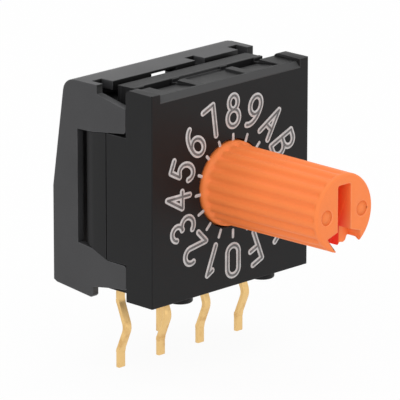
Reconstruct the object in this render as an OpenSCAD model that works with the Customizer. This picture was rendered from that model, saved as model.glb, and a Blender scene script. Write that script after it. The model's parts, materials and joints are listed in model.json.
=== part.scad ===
/* [Body] */
// Width of the switch body, left to right
body_w = 10; // [9.5:0.1:12]
// Height of the housing, from its underside to the top of its side walls
body_h = 9.75; // [9.6:0.05:11]
// Depth of the housing, from the dial face to the seam with the base
housing_d = 2.86; // [2.8:0.02:3.6]
// Thickness of the dial wall
face_t = 1; // [0.9:0.05:1.1]
// Radius of the upright front corners
corner_r = 0.05; // [0.02:0.01:0.2]
// Size of the bevel along the top front edge
bevel = 0.25; // [0.15:0.05:0.35]
// Height of the round feet that stand the body off the board
standoff_h = 0.25; // [0.15:0.05:0.5]
// Radius of a round foot
standoff_r = 0.58; // [0.4:0.02:0.62]
// Distance of each round foot from the centreline
standoff_x = 2.64; // [2.2:0.02:3]
// How far the middle of the top lies below the side walls
top_drop = 0.15; // [0.05:0.05:0.25]
// Thickness of the side walls beside the top
side_wall_t = 0.55; // [0.4:0.05:0.7]
// Radius of the rear top corner of the side walls
wall_corner_r = 0.3; // [0.1:0.05:0.4]

/* [Top pockets] */
// Width of a moulding pocket in the top
pocket_w = 1.76; // [1.2:0.02:1.8]
// Distance of each pocket's centre from the centreline
pocket_x = 2.62; // [2.5:0.02:2.8]
// Distance from the dial face to the front of the pockets
pocket_y = 0.4; // [0.35:0.05:0.6]
// Length of a pocket, front to back
pocket_l = 1.65; // [1.2:0.05:1.75]
// Depth to which the ramp of a pocket falls
pocket_shallow = 0.22; // [0.1:0.02:0.4]
// Depth of the narrow slot at the back of a pocket
pocket_deep = 0.7; // [0.5:0.05:1]
// Length of that slot, front to back
pocket_slot_l = 0.28; // [0.2:0.02:0.5]
// Width of the bare panel between the pockets
panel_w = 2.6; // [2:0.1:3]
// Depth of the bare panel
panel_drop = 0.12; // [0.05:0.01:0.2]
// Step down from the pockets' border to the rail behind it
rail_drop = 0.03; // [0.02:0.01:0.06]
// Width of the border behind the pockets
rail_border = 0.12; // [0.08:0.02:0.2]

/* [Dial and rotor] */
// Height of the shaft axis above the housing's underside
dial_z = 4.83; // [4.7:0.01:5]
// Number of switch positions
positions = 16; // [8:8:16]
// Radius of the smooth journal of the shaft
journal_r = 2; // [1.9:0.02:2.1]
// How far the smooth collar stands out of the dial wall
collar_h = 0.15; // [0.05:0.05:0.3]
// Length of the shaft in front of the dial wall
shaft_l = 6.9; // [4:0.1:12]
// Radius of the fluted shaft at the collar
shaft_r = 1.84; // [1.7:0.02:1.88]
// Draft of the shaft, as the loss of radius from collar to tip
shaft_draft = 0.05; // [0:0.01:0.08]
// Number of flutes
flutes = 20; // [12:1:24]
// Radius of a flute
flute_r = 0.22; // [0.15:0.01:0.24]
// Depth of a flute
flute_depth = 0.09; // [0.06:0.01:0.14]
// Radius of the rounded rim at the tip
rim_r = 0.15; // [0.08:0.01:0.2]
// Width of the screwdriver slot
slot_w = 0.82; // [0.6:0.02:1]
// Distance from the axis to the closed end of the slot
slot_top = 1.3; // [1.1:0.05:1.4]
// Depth of the screwdriver slot
slot_depth = 1.3; // [0.8:0.1:1.6]
// Half width of the arrow head that points at the selected character
arrow_w = 1.05; // [0.9:0.05:1.2]
// Distance of the arrow's barbs below the axis
arrow_z = 0.9; // [0.7:0.05:1]
// Depth of the arrow head
arrow_depth = 0.75; // [0.4:0.05:1]
// Radius of the round moulding marks on the tip
mark_r = 0.34; // [0.25:0.01:0.4]
// Radius of the rotor disc
disc_r = 3.7; // [3.6:0.02:3.72]
// Thickness of the rotor disc
disc_t = 0.7; // [0.5:0.05:0.75]
// Radius of a detent notch in the rim of the disc
notch_r = 0.33; // [0.3:0.01:0.36]
// Depth of a detent notch
notch_depth = 0.2; // [0.12:0.01:0.22]
// Radius of the hub behind the disc
hub_r = 0.75; // [0.65:0.01:0.8]
// Radius of the pivot that turns in the base
pivot_r = 0.45; // [0.35:0.01:0.5]
// Length of the pivot
pivot_l = 0.6; // [0.4:0.05:0.7]
// Thickness of the code plate
plate_t = 0.12; // [0.1:0.01:0.16]
// Radius of the code plate
plate_r = 3.35; // [3.25:0.01:3.4]
// Radius of the innermost contact track, which is unbroken
track_r = 1.05; // [1:0.01:1.1]
// Distance from one contact track to the next
track_pitch = 0.5; // [0.48:0.01:0.5]
// Width of a window in the code plate
window_w = 0.34; // [0.3:0.01:0.36]

/* [Seal and springs] */
// Radius of the seal ring's cord
seal_r = 0.24; // [0.2:0.01:0.26]
// Thickness of a detent spring
spring_t = 0.12; // [0.08:0.01:0.14]
// Width of a detent spring, along the shaft axis
spring_w = 0.6; // [0.4:0.05:0.7]
// Half length of a detent spring
spring_half = 1.5; // [1.3:0.05:1.55]

/* [Base] */
// Thickness of the base plate behind the seam
base_t = 1.44; // [1.3:0.02:1.5]
// Length of the tapered rear part of the base's sides
base_taper_l = 0.66; // [0.4:0.02:0.8]
// How far the sides of the base taper in at the back
base_taper = 0.2; // [0.1:0.02:0.3]
// Width of the seam that shows between the sides of the housing and of the base
seam = 0.05; // [0.02:0.01:0.08]
// Thickness of the lip of the base that shows along the top
lip_t = 0.2; // [0.15:0.01:0.24]
// Height of that lip
lip_h = 0.75; // [0.5:0.05:0.9]

/* [Bracket] */
// Thickness of the side plates, which carry the arms
side_t = 0.39; // [0.3:0.01:0.5]
// Half width of the housing and base between the side plates
core_x = 4.07; // [4.04:0.01:4.2]
// Distance from the dial face to the front of the arms
arm_y = 1.66; // [1.6:0.01:1.8]
// Distance from the top of the housing down to the underside of the upper arms
upper_arm_drop = 2.03; // [2:0.01:2.15]
// Height of the front of the upper arms
upper_arm_h = 1.15; // [1:0.05:1.2]
// Rise of the top of the upper arms from their front end to the notch
upper_arm_rise = 0.36; // [0.3:0.01:0.4]
// Length of the nearly level front part of the upper arms' top
shoulder_l = 0.55; // [0.4:0.05:0.7]
// How far the underside of the upper arms falls towards the rear wall
upper_arm_fall = 0.31; // [0.2:0.01:0.35]
// Height of the top of the lower arms above the housing's underside
lower_arm_z = 1.66; // [1.6:0.01:1.7]
// Rise of the top of the lower arms towards the rear wall
lower_arm_rise = 0.49; // [0.3:0.01:0.55]
// Height of the front of the lower arms
lower_arm_h = 1.14; // [0.9:0.02:1.2]
// Size of the bevel on the arms' front corners
arm_bevel = 0.1; // [0.05:0.01:0.15]
// Distance from the seam to the front of the feet
foot_back = 0.92; // [0.8:0.02:1]
// Height of the feet's front, up to the underside of the lower arms
foot_h = 0.5; // [0.4:0.02:0.6]
// Rise of the feet's lower edge towards the back
foot_rise = 0.25; // [0.1:0.05:0.3]
// Gap between the base and the rear wall, as the side windows show it
window_l = 0.4; // [0.3:0.02:0.6]
// Distance from the front of the rear wall at the windows to the back
back_l = 1.58; // [1.4:0.02:1.8]
// Height at which the back starts to lean forwards
lean_z = 4.5; // [4:0.1:5]
// How far the back leans forwards at the top
lean = 0.75; // [0.5:0.05:0.8]
// Radius of the top rear edge
back_r = 0.65; // [0.4:0.05:0.7]
// Thickness of the top wall
wall_t = 0.42; // [0.3:0.02:0.44]
// Thickness of the leaning rear wall
rear_t = 0.4; // [0.3:0.02:0.42]
// Gap between the lip of the base and the front edge of the top wall
top_gap = 0.39; // [0.3:0.01:0.5]
// How far the top wall stands above the middle of the housing's top
top_rise = 0.04; // [0:0.01:0.08]
// Length of the level front part of the top wall
level_l = 1.35; // [1:0.05:1.6]
// Fall of the top wall behind its level part
top_fall = 0.1; // [0.04:0.01:0.12]
// Distance from the centreline to the end notches of the top wall
notch_x = 4; // [3.8:0.02:4.1]
// Length of the notches in the top wall, front to back
notch_l = 0.7; // [0.5:0.05:0.8]
// Width of the middle notch
notch_w = 0.6; // [0.4:0.05:0.8]
// Distance from the centreline to the middle notch's left side
mid_notch_x = 1.22; // [1:0.02:1.4]
// Distance from the centreline to the middle of the window in the back
rear_window_x = 0.87; // [0.8:0.01:0.95]
// Width of that window
rear_window_w = 1.25; // [1.2:0.01:1.4]
// Distance from the top of the housing's middle down to that window
rear_window_drop = 0.58; // [0.5:0.02:0.8]
// Distance from the centreline to the middle of the relief under the top wall
relief_x = -0.75; // [-1:0.05:-0.5]
// Width of that relief
relief_w = 1.6; // [1:0.1:2]
// Length of that relief, front to back
relief_l = 0.95; // [0.5:0.05:1.2]
// Thickness that the relief leaves at the top wall's front edge
relief_edge = 0.12; // [0.05:0.01:0.15]

/* [Terminals] */
// Distance between neighbouring terminals and between their rows
pitch = 2.54; // [2.5:0.01:2.6]
// Distance from the seam to the front row of terminals
lead_inset = 0.34; // [0.32:0.01:0.44]
// Width of a terminal
lead_w = 0.4; // [0.3:0.02:0.5]
// Thickness of a terminal
lead_t = 0.2; // [0.15:0.01:0.24]
// Length of a terminal below the board plane
lead_l = 3.4; // [2.8:0.1:4.5]
// How far the crimp of a front terminal stands forwards
crimp = 0.46; // [0.3:0.02:0.6]
// Distance from the board plane down to the start of the crimp
crimp_top = 0.27; // [0.2:0.01:0.4]
// Distance from the board plane down to the middle of the crimp
crimp_mid = 1.46; // [1.3:0.02:1.6]
// Distance from the board plane down to the end of the crimp
crimp_end = 2.58; // [2.4:0.02:2.65]
// Inner radius of the crimp's bends
crimp_r = 0.5; // [0.3:0.05:0.6]
// Inner radius of the common terminal's bend
bend_r = 0.25; // [0.15:0.01:0.3]
// Width of a contact finger
finger_w = 0.3; // [0.24:0.01:0.32]
// Thickness of a contact finger
finger_t = 0.08; // [0.06:0.01:0.1]

/* [Hidden] */

black = [0.16, 0.16, 0.17];
orange = [1, 0.49, 0.22];
gold = [0.88, 0.7, 0.38];
steel = [0.72, 0.73, 0.75];
silicone = [0.55, 0.2, 0.14];

// Gap round what turns
run_fit = 0.03;
// Gap between pieces that are seated
seat_fit = 0.02;
// End play of the rotor
axial_play = 0.05;
// Overshoot of a cut past the face that it opens
eps = 0.01;
arc_steps = 6;

half_w = body_w / 2;
plate_x = half_w - side_t;
top_z = body_h - top_drop;
plank_z = top_z + top_rise;
roof_z = plank_z - wall_t;
base_back = housing_d + base_t;
board_z = -standoff_h;
full = 3 * body_w;

upper_arm_z = body_h - upper_arm_drop;
row_setback = housing_d + lead_inset;
wall_y = base_back + window_l;
back_y = wall_y + back_l;
top_y = housing_d + lip_t + top_gap;
foot_y = housing_d + foot_back;

disc_y = face_t + run_fit;
disc_back = disc_y + disc_t;
hub_back = housing_d - axial_play;
bore_r = journal_r + run_fit;
spring_room = 0.35;
cavity_r = disc_r + spring_room;
seal_mid_r = journal_r + seat_fit + seal_r;
notch_mid_r = disc_r + notch_r - notch_depth;
step_a = 360 / positions;
plate_back = disc_back + plate_t;
finger_y = plate_back + seat_fit;
mark_depth = 0.04;

spring_y = disc_y + (disc_t - spring_w) / 2;
spring_nose_r = notch_r - seat_fit;
spring_pocket = 0.62;
spring_a = [225, 315];

// The housing's wide rear part lies between the arms, with a slot under the upper ones
ledge_gap = 0.16;
ledge_hi = upper_arm_z - ledge_gap;
ledge_lo = lower_arm_z + 2 * seat_fit;
lead_y = row_setback;
common_y = row_setback + pitch;
tip_z = board_z - lead_l;
common_x = pitch / 2;
// The common terminal runs behind the front row's runs, and leaves the base above the dial axis
run_gap = 0.3;
run_rise = 2.1;
run_y = lead_y + lead_t + run_gap;
run_z = dial_z + run_rise;
tip_gap = 0.35;
// The bit that each broken track carries, and the side on which its finger meets it
track_bit = [0, 4, 2, 8, 1];
track_side = [0, 0, 180, 0, 180];
track = [for (i = [0:len(track_bit) - 1]) track_r + i * track_pitch];
finger_x = [-track[4], -track[2], track[1], track[3]];
finger_root = 2.1;
lead_x = [for (i = [-1.5:1:1.5]) i * pitch];

// The edges of the arms where they face the base, from the front to the rear wall
curve_y = (housing_d + wall_y) / 2;
upper_edge = [[arm_y + arm_bevel, upper_arm_z], [curve_y, upper_arm_z - upper_arm_fall * 0.9],
              [wall_y, upper_arm_z - upper_arm_fall]];
lower_edge = [[arm_y + arm_bevel, lower_arm_z], [housing_d, lower_arm_z + seat_fit],
              [curve_y, lower_arm_z + lower_arm_rise * 0.8], [wall_y, lower_arm_z + lower_arm_rise]];

// The drawing frame has its origin on the dial face, at the underside of the housing.
// The part's own origin is on the board plane, in the middle of the front terminal row.
module on_board() {
    translate([0, -row_setback, standoff_h]) children();
}

// Turns a shape drawn in X and Z with its thickness along Z so that the thickness runs back along Y
module upright(y, t) {
    translate([0, y + t, 0]) rotate([90, 0, 0]) linear_extrude(t) children();
}

// A round bar along the shaft axis, from y to y + t
module axial(r, y, t, fn = 64) {
    translate([0, y + t, dial_z]) rotate([90, 0, 0]) cylinder(r = r, h = t, $fn = fn);
}

// Moves a shape drawn round the origin to the shaft axis
module round_axis() {
    translate([0, dial_z]) children();
}

// Extrudes an outline drawn in Y and Z across the body, centred on x
module across(x, w) {
    translate([x - w / 2, 0, 0]) rotate([90, 0, 90]) linear_extrude(w) children();
}

// A plain block given by its two corners
module block(a, b) {
    translate(a) cube([b[0] - a[0], b[1] - a[1], b[2] - a[2]]);
}

function unit(v) = v / norm(v);
function normal(v) = [-v[1], v[0]];
function cross2(a, b) = a[0] * b[1] - a[1] * b[0];

// The points of a bend of radius r at b, on the way from a to c
function bend(a, b, c, r) =
    let (u = unit(a - b), v = unit(c - b), half = acos(u * v) / 2, reach = r / tan(half))
    let (centre = b + unit(u + v) * r / sin(half), start = b + u * reach - centre)
    let (turn = (cross2(u, v) > 0 ? -1 : 1) * (180 - 2 * half))
    [for (i = [0:arc_steps])
        let (k = turn * i / arc_steps)
        centre + [start[0] * cos(k) - start[1] * sin(k), start[0] * sin(k) + start[1] * cos(k)]];

// A path with every inner corner bent to radius r
function bent_path(p, r) = concat(
    [p[0]],
    [for (i = [1:len(p) - 2]) each bend(p[i - 1], p[i], p[i + 1], r)],
    [p[len(p) - 1]]);

// The direction of a path at point i
function heading(p, i) = unit(p[min(i + 1, len(p) - 1)] - p[max(i - 1, 0)]);

// A strip of thickness t along a path drawn in Y and Z, from x to either side by w / 2
module strip(p, r, t, x, w) {
    q = bent_path(p, r + t / 2);
    side_a = [for (i = [0:len(q) - 1]) q[i] + normal(heading(q, i)) * t / 2];
    side_b = [for (i = [len(q) - 1:-1:0]) q[i] - normal(heading(q, i)) * t / 2];
    across(x, w) polygon(concat(side_a, side_b));
}

// The front outline of the housing seen from above, with its rounded upright corners
module plan_outline(depth) {
    translate([-half_w, corner_r]) square([body_w, depth - corner_r]);
    translate([corner_r - half_w, 0]) square([body_w - 2 * corner_r, depth]);
    for (s = [-1, 1]) translate([s * (half_w - corner_r), corner_r]) circle(r = corner_r, $fn = 32);
}

// The cavity of the housing: room for the disc and one straight pocket for each spring
module cavity_outline() {
    round_axis() {
        circle(r = cavity_r, $fn = 96);
        for (a = spring_a) rotate(a) translate([disc_r - spring_pocket / 2, -spring_half - seat_fit])
            square([spring_pocket * 1.5, 2 * (spring_half + seat_fit)]);
    }
}

// One pocket in the top: a ramp that falls to a narrow slot at the back
module top_pocket(s) {
    x = s * pocket_x;
    slot_y = pocket_y + pocket_l - pocket_slot_l;
    across(x, pocket_w) polygon([
        [pocket_y, top_z + eps], [pocket_y, top_z - pocket_shallow / 4], [slot_y, top_z - pocket_shallow],
        [slot_y, top_z - pocket_deep], [pocket_y + pocket_l, top_z - pocket_deep],
        [pocket_y + pocket_l, top_z + eps]]);
}

// The rounded rear top corner of each side wall, cut away round it
module side_wall_cut() {
    r = wall_corner_r;
    difference() {
        translate([arm_y - r, body_h - r]) square(2 * r);
        translate([arm_y - r, body_h - r]) circle(r = r, $fn = 32);
    }
}

module housing_shell() {
    linear_extrude(body_h) plan_outline(arm_y - seat_fit);
    block([-core_x, arm_y - 2 * seat_fit, 0], [core_x, housing_d, top_z]);
    block([-half_w, arm_y - 2 * seat_fit, ledge_lo], [half_w, housing_d, ledge_hi]);
    for (s = [-1, 1]) translate([s * standoff_x, standoff_r + seat_fit, board_z])
        standoff();
}

// A round foot with a softened lower edge
module standoff() {
    soft = standoff_h / 3;
    rotate_extrude($fn = 48) {
        square([standoff_r - soft, standoff_h + eps]);
        translate([0, soft]) square([standoff_r, standoff_h - soft + eps]);
        translate([standoff_r - soft, soft]) intersection() {
            circle(r = soft, $fn = 32);
            translate([0, -soft]) square([soft, soft]);
        }
    }
}

module housing() {
    inner_x = half_w - side_wall_t;
    color(black) on_board() difference() {
        housing_shell();
        axial(bore_r, -eps, face_t + 2 * eps);
        axial(seal_mid_r + seal_r, face_t - 2 * seal_r - seat_fit, 3 * seal_r);
        upright(face_t, housing_d) cavity_outline();
        block([-inner_x, -eps, top_z], [inner_x, housing_d, body_h + eps]);
        across(0, 2 * inner_x) polygon([[-eps, top_z - bevel - eps], [bevel + eps, top_z + eps],
                                        [-eps, top_z + eps]]);
        across(0, full) side_wall_cut();
        for (s = [-1, 1]) top_pocket(s);
        block([-panel_w / 2, pocket_y, top_z - panel_drop],
              [panel_w / 2, pocket_y + pocket_l, body_h]);
        block([-inner_x, pocket_y + pocket_l + rail_border, top_z - rail_drop],
              [inner_x, housing_d + eps, body_h]);
    }
}

// One scalloped notch of the rotor disc at each position
module disc_outline() {
    difference() {
        circle(r = disc_r, $fn = 128);
        for (i = [0:positions - 1]) rotate(spring_a[0] + i * step_a)
            translate([notch_mid_r, 0]) circle(r = notch_r, $fn = 32);
    }
}

// The side outline of the shaft, revolved about its axis
module shaft_profile() {
    tip_r = shaft_r - shaft_draft;
    soft = collar_h / 3;
    polygon([[0, -face_t], [journal_r, -face_t], [journal_r, collar_h - soft],
             [journal_r - soft, collar_h], [shaft_r, collar_h],
             [tip_r, shaft_l - rim_r], [tip_r - rim_r, shaft_l - rim_r], [0, shaft_l - rim_r]]);
    translate([0, shaft_l - rim_r - eps]) square([tip_r - rim_r, rim_r + eps]);
    translate([tip_r - rim_r, shaft_l - rim_r]) circle(r = rim_r, $fn = 32);
}

// The screwdriver slot and its arrow head, seen from the tip
module slot_outline() {
    h = slot_w / 2;
    soft = slot_w / 8;
    translate([-h, -full]) square([slot_w, full + slot_top - soft]);
    translate([soft - h, 0]) square([slot_w - 2 * soft, slot_top]);
    for (s = [-1, 1]) translate([s * (h - soft), slot_top - soft]) circle(r = soft, $fn = 24);
}

// The arrow head: its left side tapers back to the slot, its right side is open to the rim
module arrow_outline() {
    drop = arrow_w / 10;
    outside = shaft_r + drop;
    polygon([[-slot_w / 2, -arrow_z + drop], [-arrow_w, -arrow_z - drop], [-slot_w / 2, -outside],
             [arrow_w, -outside], [arrow_w, -arrow_z - drop], [slot_w / 2, -arrow_z + drop]]);
}

module shaft() {
    mark_x = (slot_w / 2 + shaft_r) / 2;
    draft_a = atan(shaft_draft / shaft_l);
    color(orange) on_board() {
        difference() {
            translate([0, 0, dial_z]) rotate([90, 0, 0]) rotate_extrude($fn = 96) shaft_profile();
            for (i = [0:flutes - 1]) translate([0, -collar_h, dial_z]) rotate([90, 0, 0])
                rotate(i * 360 / flutes) translate([shaft_r + flute_r - flute_depth, 0, 0])
                    rotate([0, -draft_a, 0]) cylinder(r = flute_r, h = shaft_l, $fn = 24);
            upright(-shaft_l - eps, slot_depth) round_axis() slot_outline();
            upright(-shaft_l - eps, arrow_depth) round_axis() arrow_outline();
            for (s = [-1, 1]) translate([s * mark_x, 0, 0]) axial(mark_r, -shaft_l - eps, mark_depth, 32);
        }
        axial(journal_r, face_t - 2 * eps, run_fit + 4 * eps);
        upright(disc_y, disc_t) round_axis() disc_outline();
        axial(hub_r, disc_back - eps, hub_back - disc_back + eps);
        axial(pivot_r, hub_back - eps, pivot_l + eps, 48);
    }
}

module seal_ring() {
    color(silicone) on_board() translate([0, face_t - seal_r - seat_fit, dial_z])
        rotate([90, 0, 0]) rotate_extrude($fn = 96) translate([seal_mid_r, 0]) circle(r = seal_r, $fn = 48);
}

// A leaf spring with a rounded nose that rests in one notch of the disc
module spring_outline() {
    back = notch_mid_r;
    difference() {
        translate([notch_mid_r, 0]) circle(r = spring_nose_r, $fn = 48);
        translate([notch_mid_r, 0]) circle(r = spring_nose_r - spring_t, $fn = 48);
        translate([notch_mid_r, -full / 2]) square([full, full]);
    }
    for (s = [-1, 1]) translate([back, s > 0 ? spring_nose_r - spring_t : -spring_half])
        square([spring_t, spring_half - spring_nose_r + spring_t]);
    for (s = [-1, 1]) translate([back - spring_t / 2, s > 0 ? spring_nose_r - spring_t : -spring_nose_r])
        square([spring_t, spring_t]);
}

module detent_spring(a) {
    color(steel) on_board() upright(spring_y, spring_w) round_axis() rotate(a) spring_outline();
}

// A slice of a disc from angle a, as wide as w
module wedge(a, w, r) {
    rim = [for (i = [0:arc_steps]) let (k = a + w * i / arc_steps) [cos(k), sin(k)] * r];
    polygon(concat([[0, 0]], rim));
}

// The windows of one contact track: the finger meets metal where the bit of the position is set
module track_windows(i, bit, side) {
    blank = bit * step_a;
    for (n = [0:positions / bit / 2 - 1]) intersection() {
        difference() {
            circle(r = track[i] + window_w / 2, $fn = 96);
            circle(r = track[i] - window_w / 2, $fn = 96);
        }
        wedge(side - step_a / 2 + 2 * n * blank, blank, full);
    }
}

module code_plate() {
    color(gold) on_board() upright(disc_back, plate_t) round_axis() difference() {
        circle(r = plate_r, $fn = 96);
        circle(r = hub_r, $fn = 64);
        for (i = [1:len(track) - 1]) track_windows(i, track_bit[i], track_side[i]);
    }
}

// The slot in the base through which a contact finger reaches forwards
module finger_room(x, y, z) {
    block([x - finger_w / 2 - seat_fit * 3, housing_d - eps, z - finger_root],
          [x + finger_w / 2 + seat_fit * 3, y + lead_t / 2, z + tip_gap]);
}

// A contact finger: it leaves the terminal in the base and its rounded tip meets the plate
module finger(x, y, z) {
    touch = finger_y + finger_t / 2;
    strip([[y, z - finger_root - lead_w / 2], [y, z - finger_root + tip_gap],
           [touch + finger_t, z - tip_gap / 3], [touch, z], [touch + 2 * finger_t, z + tip_gap - finger_t]],
          finger_t / 2, finger_t, x, finger_w);
}

// The flat run of a front terminal inside the base, from its lead to its finger
module lead_run(i) {
    z = dial_z - finger_root - lead_w;
    lo = min(lead_x[i], finger_x[i]) - finger_w / 2;
    hi = max(lead_x[i], finger_x[i]) + finger_w / 2;
    block([lo, lead_y - lead_t / 2, z], [hi, lead_y + lead_t / 2, z + lead_w]);
    block([lead_x[i] - lead_w / 2, lead_y - lead_t / 2, 0],
          [lead_x[i] + lead_w / 2, lead_y + lead_t / 2, z + eps]);
}

// The crimped leg of a front terminal below the housing
module lead_leg(x) {
    strip([[lead_y, eps], [lead_y, board_z - crimp_top], [lead_y - crimp, board_z - crimp_mid],
           [lead_y, board_z - crimp_end], [lead_y, tip_z]], crimp_r, lead_t, x, lead_w);
}

module terminal(i) {
    color(gold) on_board() {
        lead_leg(lead_x[i]);
        lead_run(i);
        finger(finger_x[i], lead_y, dial_z);
    }
}

// The common terminal's way through the base and down behind it
module common_run() {
    z = dial_z - track_r - finger_root - lead_w;
    block([-finger_w / 2, run_y - lead_t / 2, z], [common_x + lead_w / 2, run_y + lead_t / 2, z + lead_w]);
    block([common_x - lead_w / 2, run_y - lead_t / 2, z],
          [common_x + lead_w / 2, run_y + lead_t / 2, run_z + lead_t / 2]);
}

module common_leg() {
    strip([[run_y - lead_t / 2, run_z], [common_y, run_z], [common_y, tip_z]],
          bend_r, lead_t, common_x, lead_w);
}

module terminal_common() {
    color(gold) on_board() {
        common_run();
        common_leg();
        finger(0, run_y, dial_z - track_r);
    }
}

// The base seen from above, with its tapered sides
module base_plan(w) {
    ridge_y = base_back - base_taper_l;
    side = [[w, housing_d], [w, ridge_y], [w - base_taper / 4, (ridge_y + base_back) / 2],
            [w - base_taper, base_back]];
    polygon(concat(side, [for (i = [len(side) - 1:-1:0]) [-side[i][0], side[i][1]]]));
}

// The wide part of the base seen from the side: it follows the edges of the arms
module base_side() {
    front = housing_d + seam;
    intersection() {
        translate([front, 0]) square([base_back - front, top_z]);
        polygon(concat([for (p = upper_edge) p - [0, seat_fit]],
                       [for (i = [len(lower_edge) - 1:-1:0]) lower_edge[i] + [0, seat_fit]]));
    }
}

module base() {
    color(black) on_board() difference() {
        union() {
            linear_extrude(top_z - lip_h) base_plan(core_x);
            intersection() {
                linear_extrude(top_z) base_plan(half_w);
                across(0, body_w) base_side();
            }
            block([-core_x, housing_d, top_z - lip_h - eps],
                  [core_x, housing_d + lip_t, top_z - rail_drop - seat_fit]);
        }
        axial(pivot_r + run_fit, housing_d - eps, pivot_l + axial_play + eps, 48);
        for (i = [0:len(lead_x) - 1]) {
            lead_run(i);
            finger_room(finger_x[i], lead_y, dial_z);
        }
        finger_room(0, run_y, dial_z - track_r);
        common_run();
        common_leg();
    }
}

// The side outline of the bracket: a leaning back with an arm above and an arm below
module bracket_outline() {
    arm_top = upper_arm_z + upper_arm_h;
    arm_low = lower_arm_z - lower_arm_h;
    knee = [back_y, lean_z];
    level_end = [top_y + level_l, plank_z];
    polygon(concat(
        [[back_y, board_z + foot_rise + arm_bevel], knee],
        bend(knee, [back_y - lean, plank_z - top_fall], level_end, back_r),
        [level_end, [top_y, plank_z], [top_y, arm_top + upper_arm_rise],
         [arm_y + shoulder_l, arm_top + arm_bevel], [arm_y, arm_top], [arm_y, upper_arm_z + arm_bevel]],
        upper_edge,
        [for (i = [len(lower_edge) - 1:-1:0]) lower_edge[i]],
        [[arm_y, lower_arm_z - arm_bevel], [arm_y, arm_low + arm_bevel], [arm_y + arm_bevel, arm_low],
         [arm_y + shoulder_l, arm_low - seat_fit], [foot_y, board_z + foot_h], [foot_y, board_z + arm_bevel],
         [foot_y + arm_bevel, board_z], [back_y - 2 * arm_bevel, board_z + foot_rise]]));
}

// The room between the side plates, open below, whose rear wall leans with the back
module bracket_room() {
    lean_part = (roof_z - lean_z) / (plank_z - lean_z);
    inner_y = back_y - rear_t;
    polygon([[0, -full], [inner_y, -full], [inner_y, lean_z], [inner_y - lean * lean_part, roof_z],
             [top_y, roof_z], [top_y, body_h], [0, body_h]]);
}

// The bevelled relief under the front edge of the top wall
module top_relief() {
    across(relief_x, relief_w) polygon([[top_y - eps, roof_z - eps], [top_y + relief_l, roof_z - eps],
                                        [top_y - eps, plank_z - relief_edge]]);
}

// A notch in the front edge of the top wall, from x to either side
module top_notch(a, b) {
    block([min(a, b), top_y - eps, roof_z - eps], [max(a, b), top_y + notch_l, body_h]);
}

module bracket() {
    color(black) on_board() difference() {
        across(0, body_w) bracket_outline();
        across(0, 2 * plate_x) bracket_room();
        top_relief();
        block([rear_window_x - rear_window_w / 2, wall_y, lower_arm_z],
              [rear_window_x + rear_window_w / 2, full, top_z - rear_window_drop]);
        top_notch(mid_notch_x, mid_notch_x + notch_w);
        for (s = [-1, 1]) top_notch(s * notch_x, s * plate_x);
    }
}

housing();
base();
bracket();
shaft();
seal_ring();
detent_spring(spring_a[0]);  // detent_spring_left
detent_spring(spring_a[1]);  // detent_spring_right
code_plate();
terminal(0);  // terminal_1
terminal(1);  // terminal_2
terminal(2);  // terminal_4
terminal(3);  // terminal_8
terminal_common();
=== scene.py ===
import json
import math

import bmesh
import bpy
from bpy.props import FloatProperty, FloatVectorProperty, IntProperty, PointerProperty
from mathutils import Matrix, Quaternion, Vector
from mathutils.geometry import delaunay_2d_cdt


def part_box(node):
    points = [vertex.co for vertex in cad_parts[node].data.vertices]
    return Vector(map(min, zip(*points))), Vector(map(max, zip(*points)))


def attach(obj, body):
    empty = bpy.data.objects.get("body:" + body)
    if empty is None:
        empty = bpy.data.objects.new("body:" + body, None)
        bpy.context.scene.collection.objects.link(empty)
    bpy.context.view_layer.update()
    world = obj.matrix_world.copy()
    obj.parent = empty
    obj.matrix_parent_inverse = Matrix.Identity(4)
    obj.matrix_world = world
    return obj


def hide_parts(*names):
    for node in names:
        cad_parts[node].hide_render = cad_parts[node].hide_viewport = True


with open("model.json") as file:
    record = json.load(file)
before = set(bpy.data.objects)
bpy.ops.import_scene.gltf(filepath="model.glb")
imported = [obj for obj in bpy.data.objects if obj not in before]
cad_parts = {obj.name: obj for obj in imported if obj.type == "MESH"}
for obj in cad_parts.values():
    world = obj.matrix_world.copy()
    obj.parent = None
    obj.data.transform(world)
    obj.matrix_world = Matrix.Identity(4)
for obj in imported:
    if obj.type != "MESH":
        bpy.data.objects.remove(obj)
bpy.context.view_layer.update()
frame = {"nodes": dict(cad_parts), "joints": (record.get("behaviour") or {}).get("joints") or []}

bl_info = {
    "name": "Rotary dip switch",
    "version": (1, 0, 0),
    "blender": (4, 5, 0),
    "location": "3D View > Sidebar > Switch",
    "description": "Dresses the packed rotary dip switch: finishes, dial print and a plain studio",
    "category": "Object",
}

MM = 0.001
HOUSING = "switch"
ROTOR = "rotor"
FACE_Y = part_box("housing")[0].y
AXIS = Vector(frame["joints"][0]["pos_m"])
TIP_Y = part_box("shaft")[0].y
FLOOR_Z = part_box("terminal_common")[0].z
TERMINALS = ("terminal_1", "terminal_2", "terminal_4", "terminal_8", "terminal_common")
SPRINGS = ("detent_spring_left", "detent_spring_right")
WELD = 0.0005 * MM
FLAT_ANGLE = math.radians(0.4)
SHADE_ANGLE = math.radians(40)
PRINT_SHADE_ANGLE = math.radians(50)
LIP_ANGLE = math.radians(60)
TOP_BAND = 0.6 * MM
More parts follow.
